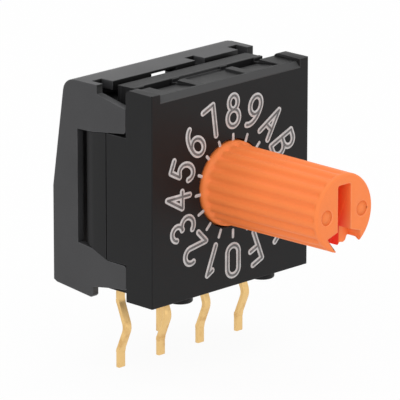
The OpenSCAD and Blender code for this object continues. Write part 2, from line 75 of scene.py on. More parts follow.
# Paler edge colours: partly rubbed plastic, partly a painted highlight where light catches the edges.
BLACK_RUB_AND_HIGHLIGHT = (0.05, 0.05, 0.052)
BRACKET_RUB_AND_HIGHLIGHT = (0.09, 0.09, 0.093)
ORANGE_RUB_AND_HIGHLIGHT = (1.0, 0.36, 0.15)
SEAL_COLOR = (0.35, 0.08, 0.05)
SEAL_RUB_AND_HIGHLIGHT = (0.45, 0.14, 0.1)
STEEL_STAIN = (0.25, 0.24, 0.23)
PLATE_STAIN = (0.4, 0.22, 0.07)
TERMINAL_STAIN = (0.5, 0.26, 0.08)
SOFTBOXES = (
    ("key_softbox", "key_power", (-0.16, -0.05, 0.16), (0.12, 0.12)),
    ("top_softbox", "top_power", (0.02, 0.02, 0.2), (0.16, 0.16)),
    ("fill_softbox", "fill_power", (0.05, -0.2, 0.06), (0.12, 0.12)),
)
FLOOR_HALF = 1.5
FLOOR_GAP = 0.005 * MM
FLOOR_WHITE = 0.94
SENSOR_WIDTH = 36.0


# Sizes and colours that a user would change

class SwitchMoulding(bpy.types.PropertyGroup):
    """Sizes and colours of the black mouldings"""
    edge_radius: FloatProperty(
        name="Edge softness", description="Width of the softened edge of a moulding",
        default=0.03 * MM, min=0.01 * MM, max=0.15 * MM, unit="LENGTH", precision=6)
    sharp_angle: FloatProperty(
        name="Sharp angle", description="An edge that turns more than this is softened",
        default=math.radians(28), subtype="ANGLE")
    housing_color: FloatVectorProperty(
        name="Housing", description="Colour of the housing's plastic",
        default=(0.0125, 0.0125, 0.013), min=0, max=1, size=3, subtype="COLOR")
    base_color: FloatVectorProperty(
        name="Base", description="Colour of the base plate's plastic",
        default=(0.014, 0.014, 0.0145), min=0, max=1, size=3, subtype="COLOR")
    bracket_color: FloatVectorProperty(
        name="Bracket", description="Colour of the rear bracket's plastic",
        default=(0.044, 0.044, 0.046), min=0, max=1, size=3, subtype="COLOR")
    # Painted light: the paler colour of the sloped faces at the housing's top stands in for the light they
    # catch.
    slope_painted_light: FloatVectorProperty(
        name="Housing slopes", description="Paler colour of the lit slopes at the housing's top",
        default=(0.06, 0.06, 0.061), min=0, max=1, size=3, subtype="COLOR")
    # Painted shade: a near-black colour on the front of the bracket's top wall stands in for the dark gap
    # beneath it.
    top_wall_painted_shade: FloatVectorProperty(
        name="Bracket shade", description="Darker colour of the front of the bracket's top wall",
        default=(0.004, 0.004, 0.004), min=0, max=1, size=3, subtype="COLOR")


class SwitchRotor(bpy.types.PropertyGroup):
    """Sizes and colours of the shaft"""
    edge_radius: FloatProperty(
        name="Edge softness", description="Width of the softened lips of the slot",
        default=0.045 * MM, min=0.01 * MM, max=0.1 * MM, unit="LENGTH", precision=6)
    collar_radius: FloatProperty(
        name="Collar radius", description="Radius of the smooth collar",
        default=1.95 * MM, unit="LENGTH", precision=6)
    root_radius: FloatProperty(
        name="Root radius", description="Radius of the fluted shaft next to the collar",
        default=1.84 * MM, unit="LENGTH", precision=6)
    tip_radius: FloatProperty(
        name="Tip radius", description="Radius of the fluted shaft at its tip",
        default=1.79 * MM, unit="LENGTH", precision=6)
    rim_radius: FloatProperty(
        name="Rim rounding", description="Radius of the rounded rim at the tip",
        default=0.13 * MM, unit="LENGTH", precision=6)
    flutes: IntProperty(
        name="Flutes", description="Number of flutes", default=20, min=12, max=24)
    flute_depth: FloatProperty(
        name="Flute depth", description="Depth of a flute", default=0.12 * MM, unit="LENGTH", precision=6)
    slot_width: FloatProperty(
        name="Slot width", description="Width of the screwdriver slot",
        default=0.82 * MM, unit="LENGTH", precision=6)
    slot_reach: FloatProperty(
        name="Slot reach", description="Distance from the axis to the closed end of the slot",
        default=1.3 * MM, unit="LENGTH", precision=6)
    slot_depth: FloatProperty(
        name="Slot depth", description="Depth of the slot", default=1.3 * MM, unit="LENGTH", precision=6)
    arrow_half: FloatProperty(
        name="Arrow half width", description="Half width of the arrow head",
        default=1.05 * MM, unit="LENGTH", precision=6)
    arrow_drop: FloatProperty(
        name="Arrow place", description="Distance of the arrow head's barbs from the axis",
        default=1.0 * MM, unit="LENGTH", precision=6)
    arrow_depth: FloatProperty(
        name="Arrow depth", description="Depth of the arrow head",
        default=0.75 * MM, unit="LENGTH", precision=6)
    # Painted shade: a deeper red deep in the slot and the arrow head stands in for the shade that falls
    # there.
    slot_painted_shade: FloatVectorProperty(
        name="Deep in the slot", description="Colour of the shaft's plastic deep in its slot",
        default=(0.95, 0.03, 0.006), min=0, max=1, size=3, subtype="COLOR")
    color: FloatVectorProperty(
        name="Shaft", description="Colour of the shaft's plastic",
        default=(1.0, 0.25, 0.062), min=0, max=1, size=3, subtype="COLOR")


class SwitchPrint(bpy.types.PropertyGroup):
    """Sizes and colours of the characters and ticks on the dial"""
    center_x: FloatProperty(
        name="Centre across", description="Place of the dial's centre from the middle of the body",
        default=0.13 * MM, unit="LENGTH", precision=6)
    center_z: FloatProperty(
        name="Centre above the axis", description="Height of the dial's centre above the shaft axis",
        default=-0.16 * MM, unit="LENGTH", precision=6)
    inner_radius: FloatProperty(
        name="Foot radius", description="Distance from the dial's centre to the foot of a character",
        default=2.63 * MM, unit="LENGTH", precision=6)
    height: FloatProperty(
        name="Character height", description="Height of a character",
        default=1.69 * MM, unit="LENGTH", precision=6)
    width: FloatProperty(
        name="Character width", description="Width of a character",
        default=1.05 * MM, unit="LENGTH", precision=6)
    stroke: FloatProperty(
        name="Stroke", description="Width of a character's stroke",
        default=0.29 * MM, unit="LENGTH", precision=6)
    relief: FloatProperty(
        name="Relief", description="Height of the raised rim of a stroke",
        default=0.02 * MM, unit="LENGTH", precision=6)
    tick_inner: FloatProperty(
        name="Tick inner radius", description="Distance from the dial's centre to the inner end of a tick",
        default=1.98 * MM, unit="LENGTH", precision=6)
    tick_outer: FloatProperty(
        name="Tick outer radius", description="Distance from the dial's centre to the outer end of a tick",
        default=2.45 * MM, unit="LENGTH", precision=6)
    tick_stroke: FloatProperty(
        name="Tick width", description="Width of a tick",
        default=0.15 * MM, unit="LENGTH", precision=6)
    positions: IntProperty(
        name="Positions", description="Number of switch positions", default=16, min=8, max=16)
    rim_color: FloatVectorProperty(
        name="Ink rim", description="Colour of the ink along the edges of a stroke",
        default=(0.66, 0.66, 0.66), min=0, max=1, size=3, subtype="COLOR")
    core_color: FloatVectorProperty(
        name="Ink core", description="Colour of the thin ink in the middle of a stroke",
        default=(0.2, 0.2, 0.2), min=0, max=1, size=3, subtype="COLOR")


class SwitchMetal(bpy.types.PropertyGroup):
    """Colours of the metal pieces"""
    gold_color: FloatVectorProperty(
        name="Plating", description="Colour of the gold plating",
        default=(0.83, 0.56, 0.24), min=0, max=1, size=3, subtype="COLOR")
    steel_color: FloatVectorProperty(
        name="Spring steel", description="Colour of the detent springs",
        default=(0.55, 0.56, 0.58), min=0, max=1, size=3, subtype="COLOR")
    edge_radius: FloatProperty(
        name="Edge softness", description="Width of the softened edge of a stamped terminal",
        default=0.03 * MM, min=0.005 * MM, max=0.05 * MM, unit="LENGTH", precision=6)


class SwitchStudio(bpy.types.PropertyGroup):
    """Camera and light"""
    azimuth: FloatProperty(
        name="Azimuth", description="Direction of the camera round the switch",
        default=math.radians(-45.593), subtype="ANGLE")
    elevation: FloatProperty(
        name="Elevation", description="Height of the camera as an angle",
        default=math.radians(16.093), subtype="ANGLE")
    roll: FloatProperty(
        name="Roll", description="Turn of the camera about its own axis",
        default=math.radians(0.054), subtype="ANGLE")
    distance: FloatProperty(
        name="Distance", description="Distance of the camera from its target",
        default=209.95 * MM, unit="LENGTH")
    focal: FloatProperty(
        name="Focal length", description="Focal length on a sensor 36 mm wide",
        default=416.6, unit="CAMERA")
    target: FloatVectorProperty(
        name="Target", description="Point that the camera looks at",
        default=(1.077 * MM, -0.2 * MM, 3.457 * MM), size=3, subtype="TRANSLATION")
    world_strength: FloatProperty(
        name="Room light", description="Strength of the even light of the room", default=0.8, min=0, max=1)
    key_power: FloatProperty(
        name="Key power", description="Power of the softbox on the left", default=0.08, min=0)
    top_power: FloatProperty(
        name="Top power", description="Power of the softbox above", default=0.06, min=0)
    fill_power: FloatProperty(
        name="Fill power", description="Power of the softbox in front", default=0.03, min=0)


# Shader node helpers and the shared effects

def add(tree, kind, inputs=None, **settings):
    """One node with its settings; an input is a number, a colour or another node's output."""
    made = tree.nodes.new(kind)
    for name, value in settings.items():
        setattr(made, name, value)
    for name, value in (inputs or {}).items():
        if isinstance(value, bpy.types.NodeSocket):
            tree.links.new(value, made.inputs[name])
        else:
            made.inputs[name].default_value = value
    return made


def mix_color(tree, factor, first, second, blend="MIX"):
    """The output of a colour mix."""
    made = tree.nodes.new("ShaderNodeMix")
    made.data_type = "RGBA"
    made.blend_type = blend
    for name, value in (("Factor_Float", factor), ("A_Color", first), ("B_Color", second)):
        socket = next(s for s in made.inputs if s.identifier == name)
        if isinstance(value, bpy.types.NodeSocket):
            tree.links.new(value, socket)
        else:
            socket.default_value = value
    return next(s for s in made.outputs if s.identifier == "Result_Color")


def math_node(tree, operation, first, second=0.0, third=0.0):
    """The output of one sum."""
    made = tree.nodes.new("ShaderNodeMath")
    made.operation = operation
    for socket, value in zip(made.inputs, (first, second, third)):
        if isinstance(value, bpy.types.NodeSocket):
            tree.links.new(value, socket)
        else:
            socket.default_value = value
    return made.outputs[0]


def map_range(tree, value, low, high, to_low, to_high):
    """The output of a clamped change of range."""
    made = add(tree, "ShaderNodeMapRange", {
        "Value": value, "From Min": low, "From Max": high, "To Min": to_low, "To Max": to_high})
    return made.outputs["Result"]


def noise(tree, place, scale, detail=2.0, rough=0.5):
    """The output of a noise texture of that many waves per metre."""
    made = add(tree, "ShaderNodeTexNoise", {
        "Vector": place, "Scale": scale, "Detail": detail, "Roughness": rough})
    return made.outputs["Fac"]


def new_group(name, inputs, outputs):
    """An empty shader group with named sockets; inputs are (name, kind, default)."""
    group = bpy.data.node_groups.new(name, "ShaderNodeTree")
    for label, kind, default in inputs:
        socket = group.interface.new_socket(name=label, in_out="INPUT", socket_type="NodeSocket" + kind)
        socket.default_value = default
    for label, kind in outputs:
        group.interface.new_socket(name=label, in_out="OUTPUT", socket_type="NodeSocket" + kind)
    return group, group.nodes.new("NodeGroupInput").outputs, group.nodes.new("NodeGroupOutput").inputs


def moulded_grain_group():
    """Moulded plastic: a fine sparked grain, slow flow marks, and a roughness that follows both."""
    group, given, result = new_group(
        "moulded_grain",
        [("Color", "Color", (0.02, 0.02, 0.02, 1)), ("Mottle", "Float", 0.2),
         ("Grain Scale", "Float", 9000.0), ("Flow Scale", "Float", 500.0), ("Roughness", "Float", 0.5),
         ("Roughness Spread", "Float", 0.1)],
        [("Color", "Color"), ("Roughness", "Float"), ("Height", "Float")])
    place = add(group, "ShaderNodeTexCoord").outputs["Object"]
    fine = noise(group, place, given["Grain Scale"], 3.0, 0.6)
    flow = noise(group, place, given["Flow Scale"], 2.0, 0.5)
    both = math_node(group, "MULTIPLY_ADD", flow, 0.6, math_node(group, "MULTIPLY", fine, 0.4))
    shade = map_range(group, both, 0.3, 0.7, 0.55, 1.35)
    tint = add(group, "ShaderNodeCombineColor", {"Red": shade, "Green": shade, "Blue": shade}).outputs[0]
    varied = mix_color(group, 1.0, given["Color"], tint, "MULTIPLY")
    group.links.new(mix_color(group, given["Mottle"], given["Color"], varied), result["Color"])
    swing = math_node(group, "SUBTRACT", both, 0.5)
    swing = math_node(group, "MULTIPLY", swing, given["Roughness Spread"])
    group.links.new(math_node(group, "ADD", given["Roughness"], swing), result["Roughness"])
    group.links.new(math_node(group, "MULTIPLY_ADD", flow, 0.5, fine), result["Height"])
    return group


def edge_rub_and_highlight_group():
    """Handled edges with painted highlight: where the edge mask is set the surface is paler, partly rubbed
    plastic and partly a painted highlight, and smoother, in broken patches.
    """
    group, given, result = new_group(
        "edge_rub",
        [("Color", "Color", (0.02, 0.02, 0.02, 1)), ("Rub Color", "Color", (0.1, 0.1, 0.1, 1)),
         ("Edge", "Float", 0.0), ("Amount", "Float", 0.5), ("Patch Scale", "Float", 1500.0),
         ("Roughness", "Float", 0.5), ("Rub Roughness", "Float", 0.35)],
        [("Color", "Color"), ("Roughness", "Float")])
    place = add(group, "ShaderNodeTexCoord").outputs["Object"]
    patch = map_range(group, noise(group, place, given["Patch Scale"], 3.0, 0.6), 0.35, 0.6, 0.35, 1.0)
    mask = math_node(group, "MULTIPLY", given["Edge"], given["Amount"])
    mask = math_node(group, "MULTIPLY", mask, patch)
    group.links.new(mix_color(group, mask, given["Color"], given["Rub Color"]), result["Color"])
    rough = add(group, "ShaderNodeMix", data_type="FLOAT")
    group.links.new(mask, rough.inputs[0])
    group.links.new(given["Roughness"], rough.inputs[2])
    group.links.new(given["Rub Roughness"], rough.inputs[3])
    group.links.new(rough.outputs[0], result["Roughness"])
    return group


def plated_metal_group():
    """Stamped and plated strip: drawn lines along it, cloudy plating and small dull stains."""
    group, given, result = new_group(
        "plated_metal",
        [("Color", "Color", (0.8, 0.5, 0.2, 1)), ("Stain Color", "Color", (0.4, 0.2, 0.06, 1)),
         ("Stain", "Float", 0.3), ("Line Scale", "Float", 9000.0), ("Roughness", "Float", 0.3)],
        [("Color", "Color"), ("Roughness", "Float"), ("Height", "Float")])
    place = add(group, "ShaderNodeTexCoord").outputs["Object"]
    drawn = add(group, "ShaderNodeMapping", {"Vector": place, "Scale": (1.0, 1.0, 0.08)}).outputs[0]
    lines = noise(group, drawn, given["Line Scale"], 2.0, 0.6)
    cloud = noise(group, place, 1400.0, 3.0, 0.6)
    stain = math_node(group, "MULTIPLY", map_range(group, cloud, 0.5, 0.68, 0.0, 1.0), given["Stain"])
    group.links.new(mix_color(group, stain, given["Color"], given["Stain Color"]), result["Color"])
    rough = math_node(group, "MULTIPLY_ADD", lines, 0.18, given["Roughness"])
    group.links.new(math_node(group, "MULTIPLY_ADD", stain, 0.25, rough), result["Roughness"])
    group.links.new(math_node(group, "MULTIPLY_ADD", cloud, 0.8, lines), result["Height"])
    return group


def stamped_ink_group():
    """Pad-printed ink: uneven cover with specks where the plastic shows through."""
    group, given, result = new_group(
        "stamped_ink",
        [("Color", "Color", (0.7, 0.7, 0.7, 1)), ("Under Color", "Color", (0.05, 0.05, 0.05, 1)),
         ("Cover", "Float", 0.8), ("Speck Scale", "Float", 14000.0), ("Roughness", "Float", 0.5)],
        [("Color", "Color"), ("Roughness", "Float"), ("Height", "Float")])
    place = add(group, "ShaderNodeTexCoord").outputs["Object"]
    specks = noise(group, place, given["Speck Scale"], 3.0, 0.65)
    cloud = noise(group, place, 2500.0, 2.0, 0.5)
    both = math_node(group, "MULTIPLY_ADD", cloud, 0.5, math_node(group, "MULTIPLY", specks, 0.5))
    thin = map_range(group, both, 0.42, 0.62, 1.0, 0.0)
    bare = math_node(group, "MULTIPLY", math_node(group, "SUBTRACT", 1.0, given["Cover"]), thin)
    group.links.new(mix_color(group, bare, given["Color"], given["Under Color"]), result["Color"])
    group.links.new(math_node(group, "MULTIPLY_ADD", both, 0.15, given["Roughness"]), result["Roughness"])
    group.links.new(specks, result["Height"])
    return group


def shared_group(name):
    """The group of that name, built the first time it is asked for."""
    makers = {"moulded_grain": moulded_grain_group, "edge_rub": edge_rub_and_highlight_group,
              "plated_metal": plated_metal_group, "stamped_ink": stamped_ink_group}
    return bpy.data.node_groups.get(name) or makers[name]()


def opaque(color, gain=1.0):
    """A property's colour as a shader colour, made lighter or darker by gain."""
    return tuple(min(1.0, c * gain) for c in color) + (1.0,)


def start_material(name):
    """A material with its shader, ready for groups."""
    made = bpy.data.materials.new(name)
    made.use_nodes = True
    return made, made.node_tree, made.node_tree.nodes["Principled BSDF"]


def place_group(tree, name, inputs):
    """One shared effect placed in a material, with that material's own values."""
    made = tree.nodes.new("ShaderNodeGroup")
    made.node_tree = shared_group(name)
    for label, value in inputs.items():
        if isinstance(value, bpy.types.NodeSocket):
            tree.links.new(value, made.inputs[label])
        else:
            made.inputs[label].default_value = value
    return made.outputs


def bump(tree, shader, height, strength, distance):
    """A bump from a height output."""
    made = add(tree, "ShaderNodeBump", {"Height": height, "Strength": strength, "Distance": distance})
    tree.links.new(made.outputs["Normal"], shader.inputs["Normal"])


def moulded_material(
        name, color, rub_and_highlight, roughness, mottle=0.35, grain=9000.0, relief=0.004 * MM, specular=0.5,
        second=None):
    """Moulded plastic with rubbed edges that also carry a painted highlight, and with painted light and
    shade in a second colour where the mesh asks for it.
    """
    made, tree, shader = start_material(name)
    grained = place_group(tree, "moulded_grain", {
        "Color": opaque(color), "Mottle": mottle, "Grain Scale": grain,
        "Roughness": roughness, "Roughness Spread": 0.25})
    edge = add(tree, "ShaderNodeAttribute", attribute_name="softened").outputs["Fac"]
    # Painted highlight: the softened edges get a paler colour, partly rub and partly light caught on the
    # edge.
    rubbed_and_highlit = place_group(tree, "edge_rub", {
        "Color": grained["Color"], "Rub Color": opaque(rub_and_highlight), "Edge": edge, "Amount": 0.55,
        "Roughness": grained["Roughness"], "Rub Roughness": roughness - 0.12})
    shade = rubbed_and_highlit["Color"]
    # Painted light and shade: a second colour mixed in by the mesh's mask, paler on lit slopes and darker
    # where shade falls.
    if second is not None:
        share = add(tree, "ShaderNodeAttribute", attribute_name="second_tone").outputs["Fac"]
        shade = mix_color(tree, share, shade, opaque(second))
    tree.links.new(shade, shader.inputs["Base Color"])
    tree.links.new(rubbed_and_highlit["Roughness"], shader.inputs["Roughness"])
    shader.inputs["Specular IOR Level"].default_value = specular
    bump(tree, shader, grained["Height"], 0.6, relief)
    return made


def metal_material(name, color, stain_color, stain, roughness):
    """Plated or bare strip metal."""
    made, tree, shader = start_material(name)
    plated = place_group(tree, "plated_metal", {
        "Color": opaque(color), "Stain Color": opaque(stain_color), "Stain": stain, "Roughness": roughness})
    tree.links.new(plated["Color"], shader.inputs["Base Color"])
    tree.links.new(plated["Roughness"], shader.inputs["Roughness"])
    shader.inputs["Metallic"].default_value = 1.0
    bump(tree, shader, plated["Height"], 0.5, 0.004 * MM)
    return made


def ink_material(name, color, under, cover, roughness):
    """Print on the dial."""
    made, tree, shader = start_material(name)
    inked = place_group(tree, "stamped_ink", {
        "Color": opaque(color), "Under Color": opaque(under), "Cover": cover, "Roughness": roughness})
    tree.links.new(inked["Color"], shader.inputs["Base Color"])
    tree.links.new(inked["Roughness"], shader.inputs["Roughness"])
    bump(tree, shader, inked["Height"], 0.5, 0.003 * MM)
    return made


# Mesh helpers

def link_mesh(name, shell):
    """Turns a bmesh into an object of the scene."""
    mesh = bpy.data.meshes.new(name)
    shell.to_mesh(mesh)
    shell.free()
    made = bpy.data.objects.new(name, mesh)
    bpy.context.scene.collection.objects.link(made)
    return made


def softened_copy(name, node, width, sharp, segments=3, painted_faces=None):
    """The node's own solid with its hard edges rounded; masks name the rounded faces and the faces with
    painted light and shade.
    """
    shell = bmesh.new()
    shell.from_mesh(frame["nodes"][node].data)
    bmesh.ops.remove_doubles(shell, verts=shell.verts, dist=WELD)
    bmesh.ops.dissolve_limit(
        shell, angle_limit=FLAT_ANGLE, verts=shell.verts, edges=shell.edges,
        use_dissolve_boundaries=False)
    mask = shell.faces.layers.float.new("softened")
    thin = {f for f in shell.faces
            if f.calc_area() < 2 * width * max(e.calc_length() for e in f.edges)}
    hard = [e for e in shell.edges
            if e.is_manifold and e.is_convex and e.calc_face_angle(0.0) > sharp
            and e.calc_length() > 2 * width and thin.isdisjoint(e.link_faces)]
    bevelled = bmesh.ops.bevel(
        shell, geom=hard, offset=width, offset_type="OFFSET", segments=segments, profile=0.5,
        affect="EDGES", clamp_overlap=False, miter_inner="SHARP", miter_outer="SHARP")
    for face in bevelled["faces"]:
        face[mask] = 1.0
    # Mask for painted light and shade, set on the faces that the test picks.
    painted_layer = shell.faces.layers.float.new("second_tone")
    for face in shell.faces:
        face.smooth = True
        if painted_faces is not None and painted_faces(face):
            face[painted_layer] = 1.0
    made = link_mesh(name, shell)
    made.data.set_sharp_from_angle(angle=SHADE_ANGLE)
    weighted = made.modifiers.new("even shading", "WEIGHTED_NORMAL")
    weighted.keep_sharp = True
    return made


def soft_step(value):
    """A soft step from 0 to 1 as value goes from 0 to 1."""
    t = min(1.0, max(0.0, value))
    return t * t * (3.0 - 2.0 * t)


def prism(name, outline, front, depth):
    """A closed block: an outline in X and Z, from y = front back by depth."""
    shell = bmesh.new()
    rings = [[shell.verts.new((x, y, z)) for x, z in outline] for y in (front, front + depth)]
    for ring in rings:
        shell.faces.new(ring)
    for i in range(len(outline)):
        j = (i + 1) % len(outline)
        shell.faces.new((rings[0][i], rings[0][j], rings[1][j], rings[1][i]))
    bmesh.ops.recalc_face_normals(shell, faces=shell.faces)
    return link_mesh(name, shell)


def cut_away(made, cutters):
    """Takes closed cutters off an object and removes them."""
    for cutter in cutters:
        step = made.modifiers.new("cut", "BOOLEAN")
        step.operation = "DIFFERENCE"
        step.solver = "EXACT"
        step.object = cutter
    seen = made.evaluated_get(bpy.context.evaluated_depsgraph_get())
    made.data = bpy.data.meshes.new_from_object(seen)
    made.modifiers.clear()
    for cutter in cutters:
        bpy.data.objects.remove(cutter)


def finish_copy(made, node, body, material):
    """Puts a softened copy in the place of its node."""
    made.data.materials.append(material)
    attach(made, body)
    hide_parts(node)


def dress_node(node, material):
    """A new finish for a node that stays as it is."""
    piece = frame["nodes"][node]
    piece.data.materials.clear()
    piece.data.materials.append(material)


# Dial print: every character is a few strokes in a cell that is 2 wide and 1 high, its foot at 0

def arc(x, y, rx, ry, start, end, steps=14):
    """Points on an oval arc; angles in degrees, anticlockwise from the right."""
    turns = [math.radians(start + (end - start) * i / steps) for i in range(steps + 1)]
    return [(x + rx * math.cos(t), y + ry * math.sin(t)) for t in turns]


def letter_strokes():
    """The strokes of the sixteen characters, in the order of the positions."""
    oval_top = arc(0, 0.76, 0.95, 0.24, 0, 180)
    oval_foot = arc(0, 0.24, 0.95, 0.24, 180, 360)
    bowl_top = arc(-0.1, 0.77, 0.95, 0.23, 90, -90)
    bowl_foot = arc(-0.1, 0.27, 1.0, 0.27, 90, -90)
    return [
        [oval_top + [(-0.95, 0.5)], [(-0.95, 0.5)] + oval_foot, [(0.95, 0.76), (0.95, 0.24)]],
        [[(0.15, 0), (0.15, 1)], [(0.15, 1), (-0.45, 0.8)]],
        [arc(0, 0.74, 0.9, 0.26, 165, -30) + [(-0.85, 0)], [(-0.85, 0), (0.95, 0)]],
        [arc(-0.1, 0.76, 0.85, 0.24, 150, -90), arc(-0.1, 0.27, 1.0, 0.27, 90, -150)],
        [[(0.4, 0), (0.4, 1)], [(0.4, 1), (-1.0, 0.33)], [(-1.0, 0.33), (1.0, 0.33)]],
        [[(0.8, 1), (-0.65, 1)], [(-0.65, 1), (-0.8, 0.56)],
         [(-0.8, 0.56)] + arc(-0.05, 0.32, 0.95, 0.32, 100, -145)],
        [arc(0, 0.3, 0.9, 0.3, 90, 270), arc(0, 0.3, 0.9, 0.3, -90, 90),
         arc(0.75, 0.3, 1.65, 0.7, 180, 95)],
        [[(-0.95, 1), (0.85, 1)], [(0.85, 1), (-0.1, 0)]],
        [arc(0, 0.77, 0.72, 0.23, 90, 270), arc(0, 0.77, 0.72, 0.23, -90, 90),
         arc(0, 0.27, 0.95, 0.27, 90, 270), arc(0, 0.27, 0.95, 0.27, -90, 90)],
        [arc(0, 0.7, 0.9, 0.3, 90, 270), arc(0, 0.7, 0.9, 0.3, -90, 90),
         arc(-0.75, 0.7, 1.65, 0.7, 0, -85)],
        [[(-0.95, 0), (0, 1)], [(0, 1), (0.95, 0)], [(-0.62, 0.34), (0.62, 0.34)]],
        [[(-0.85, 0), (-0.85, 1)], [(-0.85, 1)] + bowl_top + [(-0.85, 0.54)],
         [(-0.85, 0.54)] + bowl_foot + [(-0.85, 0)]],
        [arc(0.1, 0.74, 0.95, 0.26, 25, 180) + arc(0.1, 0.26, 0.95, 0.26, 180, 335)],
        [[(-0.85, 0), (-0.85, 1)], [(-0.85, 1)] + arc(-0.1, 0.7, 1.0, 0.3, 90, 0),
         arc(-0.1, 0.3, 1.0, 0.3, 0, -90) + [(-0.85, 0)], [(0.9, 0.7), (0.9, 0.3)]],
        [[(-0.8, 0), (-0.8, 1)], [(-0.8, 1), (0.85, 1)], [(-0.8, 0.52), (0.6, 0.52)],
         [(-0.8, 0), (0.85, 0)]],
        [[(-0.8, 0), (-0.8, 1)], [(-0.8, 1), (0.85, 1)], [(-0.8, 0.52), (0.6, 0.52)]],
    ]


def stroke_outline(path, half, cap_steps=8):
    """The closed outline of a stroke of that half width with round ends, anticlockwise."""
    points = [Vector(p) for p in path]
    points = [p for i, p in enumerate(points) if i == 0 or (p - points[i - 1]).length > half * 0.05]
    headings = []
    for i in range(len(points)):
        step = points[min(i + 1, len(points) - 1)] - points[max(i - 1, 0)]
        headings.append(step.normalized())
    left = [p + Vector((-h.y, h.x)) * half for p, h in zip(points, headings)]
    right = [p - Vector((-h.y, h.x)) * half for p, h in zip(points, headings)]

    def cap(centre, heading):
        """Points of the round end about centre, from left to right of the heading."""
        start = math.atan2(heading.x, -heading.y)
        turns = [start - math.pi * i / cap_steps for i in range(1, cap_steps)]
        return [centre + Vector((math.cos(t), math.sin(t))) * half for t in turns]

    outline = left + cap(points[-1], headings[-1]) + right[::-1] + cap(points[0], -headings[0])
    return outline[::-1]


def print_mesh(name, strokes, half, rim, relief, face_y):
    """A closed print: the union of strokes in X and Z, with a raised rim and a lower core along each."""
    lift = 0.001 * MM
    bed_depth = 0.01 * MM
    levels = ((half, 0.0), (half - rim * 0.45, relief), (half - rim, relief * 0.4))
    corners, loops, level_of_loop = [], [], []
    for level, (reach, _) in enumerate(levels):
        for path in strokes:
            outline = stroke_outline(path, reach)
            loops.append(list(range(len(corners), len(corners) + len(outline))))
            level_of_loop.append(level)
            corners += [p / MM for p in outline]
    flat, _, faces, _, _, origin = delaunay_2d_cdt(corners, [], loops, 1, 1e-5)
    inside = [max((level_of_loop[k] for k in ids), default=-1) for ids in origin]
    kept = [(f, level) for f, level in zip(faces, inside) if level >= 0]
    depth = {}
    for f, level in kept:
        for v in f:
            depth[v] = min(depth.get(v, len(levels)), level)
    shell = bmesh.new()
    top = {v: shell.verts.new((flat[v].x * MM, face_y - levels[level][1] - lift, flat[v].y * MM))
           for v, level in depth.items()}
    bed = {v: shell.verts.new((flat[v].x * MM, face_y + bed_depth, flat[v].y * MM)) for v in depth}
    for f, level in kept:
        made = shell.faces.new([top[v] for v in f])
        made.material_index = 1 if level == len(levels) - 1 else 0
        shell.faces.new([bed[v] for v in reversed(f)])
    rims = [e for e in shell.edges if len(e.link_faces) == 1]
    under = {top[v]: bed[v] for v in depth}
    for e in rims:
        a, b = e.verts
        if a in under and b in under:
            shell.faces.new((a, b, under[b], under[a]))
    bmesh.ops.recalc_face_normals(shell, faces=shell.faces)
    for face in shell.faces:
        face.smooth = True
    made = link_mesh(name, shell)
    made.data.set_sharp_from_angle(angle=PRINT_SHADE_ANGLE)
    return made


def dial_place(index, sizes):
    """The foot, the upward and the rightward direction of a dial position, in X and Z."""
    turn = -math.pi / 2 - index * 2 * math.pi / sizes.positions
    outward = Vector((math.cos(turn), math.sin(turn)))
    centre = Vector((AXIS.x + sizes.center_x, AXIS.z + sizes.center_z))
    return centre, outward, Vector((outward.y, -outward.x))


# One operator for each piece or group of like pieces, and one for the stage

class SWITCH_OT_housing(bpy.types.Operator):
    """Softens the housing's edges and gives it its black moulded finish"""
    bl_idname = "switch.housing"
    bl_label = "Housing"

    def execute(self, context):
        sizes = context.scene.switch_moulding
        finish = moulded_material(
            "black_moulding", sizes.housing_color, BLACK_RUB_AND_HIGHLIGHT, 0.46, specular=0.15, second=sizes.slope_painted_light)
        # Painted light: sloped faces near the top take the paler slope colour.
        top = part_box("housing")[1].z - TOP_BAND
        made = softened_copy(
            "housing_moulding", "housing", sizes.edge_radius, sizes.sharp_angle,
            painted_faces=lambda face: face.calc_center_median().z > top and 0.15 < face.normal.z < 0.92)
        finish_copy(made, "housing", HOUSING, finish)
        return {"FINISHED"}


class SWITCH_OT_base(bpy.types.Operator):
    """Softens the base plate's edges and gives it its finish"""
    bl_idname = "switch.base"
    bl_label = "Base"

    def execute(self, context):
        sizes = context.scene.switch_moulding
        finish = moulded_material("base_moulding", sizes.base_color, BLACK_RUB_AND_HIGHLIGHT, 0.5, specular=0.15)
        made = softened_copy("base_moulding", "base", sizes.edge_radius * 0.6, sizes.sharp_angle, 2)
        finish_copy(made, "base", HOUSING, finish)
        return {"FINISHED"}


class SWITCH_OT_bracket(bpy.types.Operator):
    """Softens the rear bracket's edges and gives it its slightly paler finish"""
    bl_idname = "switch.bracket"
    bl_label = "Bracket"

    def execute(self, context):
        sizes = context.scene.switch_moulding
        finish = moulded_material(
            "bracket_moulding", sizes.bracket_color, BRACKET_RUB_AND_HIGHLIGHT, 0.45, specular=0.3,
            second=sizes.top_wall_painted_shade)
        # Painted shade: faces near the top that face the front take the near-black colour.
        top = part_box("bracket")[1].z - TOP_BAND
        made = softened_copy(
            "bracket_moulding", "bracket", sizes.edge_radius, sizes.sharp_angle,
            painted_faces=lambda face: face.calc_center_median().z > top and face.normal.y < -0.8)
        finish_copy(made, "bracket", HOUSING, finish)
        return {"FINISHED"}


